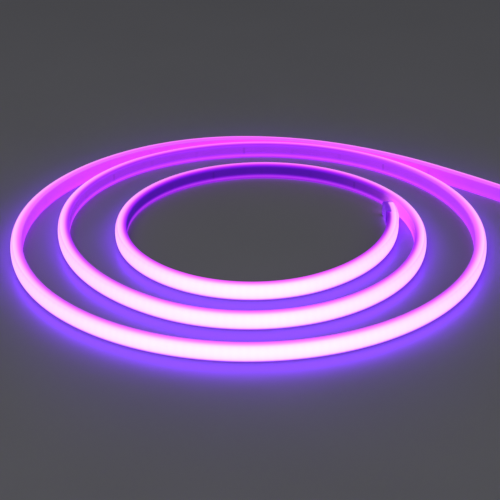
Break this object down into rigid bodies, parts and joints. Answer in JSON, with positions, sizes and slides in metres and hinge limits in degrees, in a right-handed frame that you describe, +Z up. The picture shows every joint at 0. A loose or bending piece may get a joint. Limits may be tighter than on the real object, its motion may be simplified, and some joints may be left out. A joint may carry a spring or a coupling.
{
  "type": "flexible led light tube",
  "caption": "Flexible light tube, D-shaped milky sleeve over a chip strip, standing on edge in a loose flat coil, with a capped inner end and a short lead with a barrel plug",
  "frame": {"origin": "centre of the coil, on the surface that the tube stands on", "axes": "+Z up; the feed end leaves toward +X; the lit face points away from the coil's centre"},
  "size_m": [0.4556, 0.3756, 0.0128],
  "materials": {
    "sleeve": "milky translucent silicone, smooth, lit from inside",
    "light_core": "milky light-mixing silicone",
    "circuit_strip": "white solder mask on a thin flexible circuit",
    "light_chips": "moulded chip with a clear gel face",
    "resistors": "dark film on ceramic",
    "solder_pads": "bare copper pads",
    "end_cap": "clear silicone cap, slightly cloudy",
    "sealant": "clear silicone sealant",
    "feed_cap": "milky silicone moulding",
    "solder": "tin solder",
    "lead_jacket": "white soft cable jacket",
    "red_core": "red core insulation",
    "black_core": "black core insulation",
    "plug_grip": "moulded grip with shallow ribs",
    "plug_metal": "nickel plated",
    "plug_insulator": "moulded insulator",
    "plug_contact": "plated brass"
  },
  "bodies": {
    "coil": {"sleeve_coil": "sleeve", "light_core_coil": "light_core", "circuit_strip_coil": "circuit_strip", "light_chips_coil": "light_chips", "resistors_coil": "resistors", "solder_pads_coil": "solder_pads"},
    "feed_flex_1": {"sleeve_tail_1": "sleeve", "light_core_tail_1": "light_core", "circuit_strip_tail_1": "circuit_strip", "light_chips_tail_1": "light_chips", "resistors_tail_1": "resistors", "solder_pads_tail_1": "solder_pads"},
    "feed_flex_2": {"sleeve_tail_2": "sleeve", "light_core_tail_2": "light_core", "circuit_strip_tail_2": "circuit_strip", "light_chips_tail_2": "light_chips", "resistors_tail_2": "resistors", "solder_pads_tail_2": "solder_pads", "feed_cap": "feed_cap", "feed_boot": "feed_cap", "feed_seal": "sealant", "feed_solder": "solder", "lead_jacket_root": "lead_jacket", "red_core_root": "red_core", "black_core_root": "black_core"},
    "lead_curl": {"lead_jacket": "lead_jacket", "red_core": "red_core", "black_core": "black_core"},
    "plug_end": {"lead_jacket_plug": "lead_jacket", "red_core_plug": "red_core", "black_core_plug": "black_core", "plug_grip": "plug_grip", "plug_barrel": "plug_metal", "plug_insulator": "plug_insulator", "plug_contact": "plug_contact"},
    "inner_flex_1": {"sleeve_inner_1": "sleeve", "light_core_inner_1": "light_core", "circuit_strip_inner_1": "circuit_strip", "light_chips_inner_1": "light_chips", "resistors_inner_1": "resistors", "solder_pads_inner_1": "solder_pads"},
    "inner_flex_2": {"sleeve_inner_2": "sleeve", "light_core_inner_2": "light_core", "circuit_strip_inner_2": "circuit_strip", "light_chips_inner_2": "light_chips", "resistors_inner_2": "resistors", "solder_pads_inner_2": "solder_pads", "end_cap": "end_cap", "end_seal": "sealant"}
  },
  "joints": [
    {"name": "feed_bend", "type": "hinge", "parent": "coil", "child": "feed_flex_1", "pos_m": [0.08322, 0.18048, 0.006], "axis": [0, 0, 1], "range_deg": [0, 10]},
    {"name": "feed_bend_2", "type": "hinge", "parent": "feed_flex_1", "child": "feed_flex_2", "pos_m": [0.15881, 0.13595, 0.006], "axis": [0, 0, 1], "range_deg": [0, 10]},
    {"name": "lead_swing", "type": "hinge", "parent": "feed_flex_2", "child": "lead_curl", "pos_m": [0.24718, 0.05709, 0.006], "axis": [0, 0, 1], "range_deg": [-20, 20]},
    {"name": "plug_swing", "type": "hinge", "parent": "lead_curl", "child": "plug_end", "pos_m": [0.26399, 0.00826, 0.006], "axis": [0, 0, 1], "range_deg": [-20, 20]},
    {"name": "inner_bend", "type": "hinge", "parent": "coil", "child": "inner_flex_1", "pos_m": [0.05192, -0.06571, 0.006], "axis": [0, 0, 1], "range_deg": [0, 10]},
    {"name": "inner_bend_2", "type": "hinge", "parent": "inner_flex_1", "child": "inner_flex_2", "pos_m": [0.09844, -0.01918, 0.006], "axis": [0, 0, 1], "range_deg": [0, 10]}
  ],
  "couplings": [
    {"joint": "feed_bend_2", "follows": "feed_bend", "ratio": 1},
    {"joint": "inner_bend_2", "follows": "inner_bend", "ratio": 1}
  ]
}
